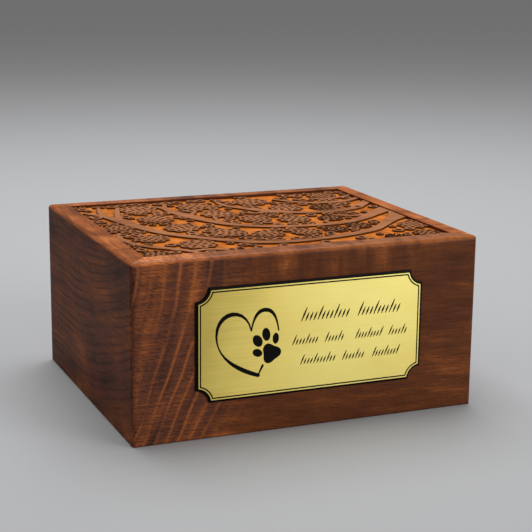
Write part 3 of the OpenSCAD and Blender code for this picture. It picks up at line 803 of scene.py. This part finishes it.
def rosewood(name, outer, inner, figure_of, shade=0.0, seed=0.0, shine=0.08):
    """Figured rosewood. outer is the axis that the board's outer face looks along and its
    place on it, and inner is the inner face's place. figure_of gives its figure, shade
    darkens it as a painted shade for the side boards, and shine is its polish. Its rim is
    lightened and warmed to orange, partly worn stain and partly a painted highlight, and its
    inner side turns to unfinished wood, a painted shadow where it shows above the panel."""
    f = Finish(name)
    x, y, z = f.axes()
    axis, outer_at = outer
    run, depth = ((y, x), (x, y))[axis]
    streaks, pale, dark, ticks, warm = figure_of(f, x, y, z, seed)
    cloud = f.noise(f.place, "board clouds", (seed, 2, seed))
    fibres = f.stretched(run, z, depth, "board fibres", seed)
    edge = f.band(z, RIM_Z - EDGE_DROP, RIM_Z - EDGE_FULL)
    top = f.band(z, RIM_Z - TOP_FROM, RIM_Z - TOP_FULL)
    # The tone is lifted on the rim's rounded edge and flat top, partly worn stain and partly a
    # painted highlight, and the side boards' painted shade is taken off there
    tone = ((streaks - 0.5) * STREAK_GAIN + (cloud - 0.5) * CLOUD_GAIN
            + (fibres - 0.5) * FIBRE_GAIN + edge * (EDGE_SHEEN_AND_WEAR_GAIN + shade) + 0.5 - shade)
    colour = f.ramp(tone, WOOD_TONES)
    colour = f.mix(warm * WARM_SHARE, colour, WOOD_WARM)
    # The rounded edge warms to orange: partly worn stain, partly a painted highlight
    colour = f.mix((edge - top) * EDGE_SHEEN_AND_WEAR_SHARE, colour, WOOD_ORANGE)
    if pale is not None:
        colour = f.mix(pale * PALE_SHARE, colour, WOOD_ORANGE)
    if dark is not None:
        colour = f.mix(dark * DARK_SHARE, colour, WOOD_DARK)
    tick = f.band(ticks, *TICK_SHOWS)
    colour = f.mix(tick * TICK_SHARE, colour, WOOD_DARK)
    # The inner side below the rim takes the plain colour: the unfinished inside, and a painted
    # shadow in the gap where it shows above the carved panel
    into = (depth - outer_at) / (inner - outer_at)
    plain_and_shadow = f.band(into, *INNER_SIDE) * f.band(z, RIM_Z - PLAIN_AND_SHADOW_FROM, RIM_Z - PLAIN_AND_SHADOW_FULL)
    colour = f.mix(plain_and_shadow, colour, PLAIN_WOOD_AND_SHADOW)
    bump = f.bump(WOOD_BUMP, WOOD_GRAIN_H, fibres * 0.5 - tick)
    return f.finish(bump, Base_Color=colour, Roughness=WOOD_ROUGH + fibres * 0.12,
                    Specular_IOR_Level=shine, Coat_Weight=(edge - top) * EDGE_COAT,
                    Coat_Roughness=COAT_ROUGH)


def carved_wood():
    """The carved panel: a brown stained face, scorched cut sides, darkened further as painted
    shade, and an orange ground that is darker where it's narrow, partly burnt and partly
    painted shade."""
    f = Finish("carved_rosewood")
    depth = (PANEL[1].z - f.axes()[2]) / (RELIEF * MM)
    grain = f.noise(f.place, "carved grain")
    cloud = f.noise(f.place, "carved clouds")
    specks = f.noise(f.place, "carved specks")
    face = f.ramp(grain * 0.6 + cloud * 0.4, CARVED_FACE)
    # The cut sides and the eased edges above them are dark, darkest at the top: partly
    # scorching, partly painted shade on sides turned from the light above
    cut_sides_scorch_and_shade = f.mix(f.band(depth, *WALL_FADE), WALL_TOP_SCORCH_AND_SHADE, WALL_FOOT)
    ground = f.ramp(f.noise(f.place, "carved ground"), CARVED_GROUND)
    room = f.add("Attribute", {"attribute_name": "open"}, out="Fac")
    # Narrow ground is darker: partly burn staining, partly painted shade in the tight gaps
    ground = f.mix(f.band(room, *NARROW_TO_OPEN), NARROW_GROUND_BURN_AND_SHADE, ground)
    colour = f.mix(f.band(depth, *FACE_TO_WALL), face, cut_sides_scorch_and_shade)
    colour = f.mix(f.band(depth, *WALL_TO_GROUND), colour, ground)
    bump = f.bump(CARVED_BUMP, WOOD_GRAIN_H, specks * 0.5 + grain * 0.5)
    return f.finish(bump, Base_Color=colour, Roughness=CARVED_ROUGH,
                    Specular_IOR_Level=CARVED_SHINE)


def engraved_metal():
    """The plate: brushed gold skin over a black core that shows where it is cut through. The
    skin is painted brighter to the right and towards the upper right corner, a painted sheen.
    """
    f = Finish("engraved_plate")
    x, y, z = f.axes()
    skin = f.band(y, PLATE[0].y + SKIN_FROM * ENGRAVE_D * MM,
                  PLATE[0].y + SKIN_FULL * ENGRAVE_D * MM)
    brush = f.noise(f.place, "plate brushing")
    cloud = f.noise(f.place, "plate clouds")
    # Brushing and clouds, and a painted sheen: brighter to the right and to the upper right
    # corner
    brushing_and_sheen = ((brush - 0.5) * 0.5 + (cloud - 0.5) * 0.4 + x * SHEEN_RIGHT - x * x * SHEEN_BEND
            + (z - PLATE_MID_Z) * x * SHEEN_CORNER + GOLD_LEVEL)
    colour = f.mix(skin, PLATE_CORE, f.ramp(brushing_and_sheen, GOLD_TONES))
    return f.finish(f.bump(PLATE_BUMP, METAL_GRAIN_H, brush), Base_Color=colour,
                    Metallic=skin * SKIN_METAL, Roughness=CORE_ROUGH - skin * SKIN_SMOOTHER,
                    Specular_IOR_Level=PLATE_SHINE)


def screw_metal():
    """Dull brass with fine scratches."""
    f = Finish("screw_brass")
    scratch = f.noise(f.place, "screw scratches")
    return f.finish(f.bump(BRASS_BUMP, METAL_GRAIN_H, scratch),
                    Base_Color=f.ramp(scratch, BRASS_TONES), Metallic=BRASS_METAL,
                    Roughness=BRASS_ROUGH + scratch * 0.15)


def floor_finish():
    """A pale floor, all of one even grey."""
    f = Finish("pale_floor")
    return f.finish(Base_Color=FLOOR_GREY, Roughness=1.0, Specular_IOR_Level=0.0)


def wear(node, material):
    """Gives a CAD node its finish in every material slot."""
    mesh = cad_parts[node].data
    if not mesh.materials:
        mesh.materials.append(material)
    for k in range(len(mesh.materials)):
        mesh.materials[k] = material


# ---- The object ----
wear("wall_front", rosewood("rosewood_front", (1, FRONT[0].y), FRONT[1].y, front_figure))
wear("wall_back", rosewood("rosewood_back", (1, BACK[1].y), BACK[0].y, front_figure, seed=4.0))
# The side boards are darkened by shade, a painted shade, which the rim's top and rounded edge
# take off again
wear("wall_left", rosewood("rosewood_left", (0, LEFT[0].x), LEFT[1].x, side_figure,
                           shade=0.03, seed=7.0, shine=0.02))
wear("wall_right", rosewood("rosewood_right", (0, RIGHT[1].x), RIGHT[0].x, side_figure,
                            shade=0.02, seed=11.0, shine=0.02))
# The base is figured all over, so the places of its faces are given far off the box
wear("base_panel", rosewood("rosewood_base", (1, -1.0), -2.0, front_figure, seed=15.0))
brass = screw_metal()
for number in range(1, 5):
    wear(f"base_screw_{number}", brass)

panel = carved_panel()
panel.data.materials.append(carved_wood())
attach(panel, "root")
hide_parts("top_panel")

plate = engraved_plate()
plate.data.materials.append(engraved_metal())
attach(plate, "root")
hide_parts("plaque")


# ---- Floor, lights and camera ----
def stage_floor():
    """A square floor at height 0."""
    mesh = bpy.data.meshes.new("floor")
    s = FLOOR_SIZE / 2
    mesh.from_pydata([(-s, -s, 0), (s, -s, 0), (s, s, 0), (-s, s, 0)], [], [(0, 1, 2, 3)])
    floor = bpy.data.objects.new("floor", mesh)
    bpy.context.scene.collection.objects.link(floor)
    mesh.materials.append(floor_finish())


def softbox(name, place, size, power, colour):
    """A square area light that faces the box."""
    light = bpy.data.lights.new(name, "AREA")
    light.size, light.energy, light.color = size, power, colour
    lamp = bpy.data.objects.new(name, light)
    lamp.location = place
    lamp.rotation_euler = (BOX_MID - Vector(place)).to_track_quat("-Z", "Y").to_euler()
    bpy.context.scene.collection.objects.link(lamp)


def camera():
    """A camera that looks at VIEW_AIM, turned about its own line of sight by the roll."""
    azimuth, elevation, roll = map(math.radians, (VIEW_AZIMUTH, VIEW_ELEVATION, VIEW_ROLL))
    forward = Vector((-math.sin(azimuth) * math.cos(elevation),
                      math.cos(azimuth) * math.cos(elevation), -math.sin(elevation)))
    level = forward.cross(Vector((0, 0, 1))).normalized()
    upright = level.cross(forward)
    right = level * math.cos(roll) + upright * math.sin(roll)
    up = upright * math.cos(roll) - level * math.sin(roll)
    data = bpy.data.cameras.new("camera")
    data.lens, data.sensor_width = VIEW_LENS, VIEW_SENSOR
    eye = bpy.data.objects.new("camera", data)
    turn = Matrix((right, up, -forward)).transposed().to_4x4()
    eye.matrix_world = Matrix.Translation(VIEW_AIM - forward * VIEW_DISTANCE) @ turn
    bpy.context.scene.collection.objects.link(eye)
    bpy.context.scene.camera = eye


stage_floor()
for light in LIGHTS:
    softbox(*light)
world = bpy.data.worlds.new("studio")
world.use_nodes = True
background = world.node_tree.nodes["Background"]
background.inputs["Color"].default_value = SKY_COLOUR
background.inputs["Strength"].default_value = SKY_STRENGTH
bpy.context.scene.world = world
bpy.context.scene.view_settings.view_transform = "Standard"
camera()
